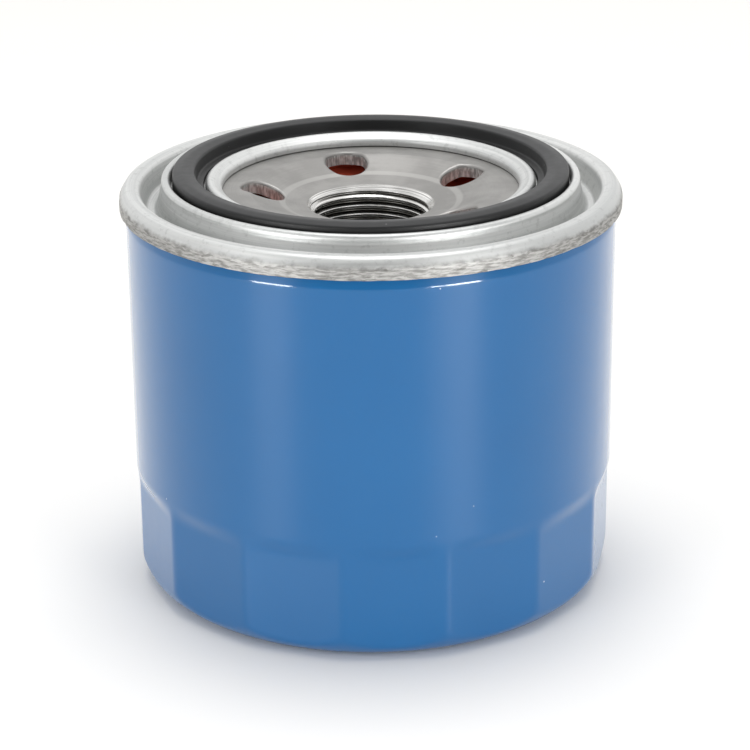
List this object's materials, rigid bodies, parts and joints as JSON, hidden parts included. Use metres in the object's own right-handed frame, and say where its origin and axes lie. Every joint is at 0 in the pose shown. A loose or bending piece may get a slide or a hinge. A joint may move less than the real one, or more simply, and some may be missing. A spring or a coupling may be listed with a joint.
{
  "type": "oil filter",
  "caption": "Spin-on oil filter: painted can with wrench flats, seamed lid with gasket groove, threaded base plate with inlet holes, pleated element and sprung valves inside.",
  "frame": {"origin": "centre of the can's foot, on the plane that the can stands on", "axes": "+Z along the thread axis, towards the gasket; X and Y across"},
  "size_m": [0.082, 0.082, 0.0703],
  "materials": {
    "blue_paint": "gloss enamel over drawn steel",
    "zinc_lid": "zinc-plated, fine circular draw marks",
    "base_steel": "bare satin steel, cut thread",
    "gasket_rubber": "moulded nitrile rubber, satin",
    "red_silicone": "moulded silicone, satin",
    "compound": "cured sealing compound",
    "spring_steel": "drawn spring wire",
    "cap_steel": "tinned sheet steel",
    "tube_steel": "perforated sheet steel",
    "filter_paper": "resin-treated pleated paper",
    "clip_steel": "crimped strip steel",
    "adhesive": "cured plastisol",
    "valve_steel": "stamped steel",
    "seal_rubber": "moulded rubber facing",
    "stem_brass": "turned rivet stem"
  },
  "bodies": {
    "housing": {"can_shell": "blue_paint", "seaming_lid": "zinc_lid", "seam_compound": "compound", "base_plate": "base_steel", "sealing_gasket": "gasket_rubber", "support_spring": "spring_steel"},
    "element": {"top_end_cap": "cap_steel", "bottom_end_cap": "cap_steel", "center_tube": "tube_steel", "filter_media": "filter_paper", "media_seam_clip": "clip_steel", "top_cap_adhesive": "adhesive", "bottom_cap_adhesive": "adhesive", "anti_drainback_hub": "red_silicone", "bypass_valve_seat": "valve_steel", "bypass_valve_cage": "valve_steel", "bypass_spring": "spring_steel"},
    "drainback_lip": {"anti_drainback_lip": "red_silicone"},
    "bypass_poppet": {"bypass_valve_disc": "valve_steel", "bypass_valve_seal": "seal_rubber", "bypass_valve_stem": "stem_brass"}
  },
  "joints": [
    {"name": "element_float", "type": "slide", "parent": "housing", "child": "element", "axis": [0, 0, -1], "range_m": [0, 0.0015], "stiffness_N_per_m": 5000, "springref_m": -0.006, "deforming": ["support_spring"]},
    {"name": "drainback_lip_flex", "type": "slide", "parent": "element", "child": "drainback_lip", "axis": [0, 0, -1], "range_m": [0, 0.0012], "stiffness_N_per_m": 600, "springref_m": -0.0005},
    {"name": "bypass_lift", "type": "slide", "parent": "element", "child": "bypass_poppet", "axis": [0, 0, 1], "range_m": [0, 0.003], "stiffness_N_per_m": 1500, "springref_m": -0.006, "deforming": ["bypass_spring"]}
  ]
}
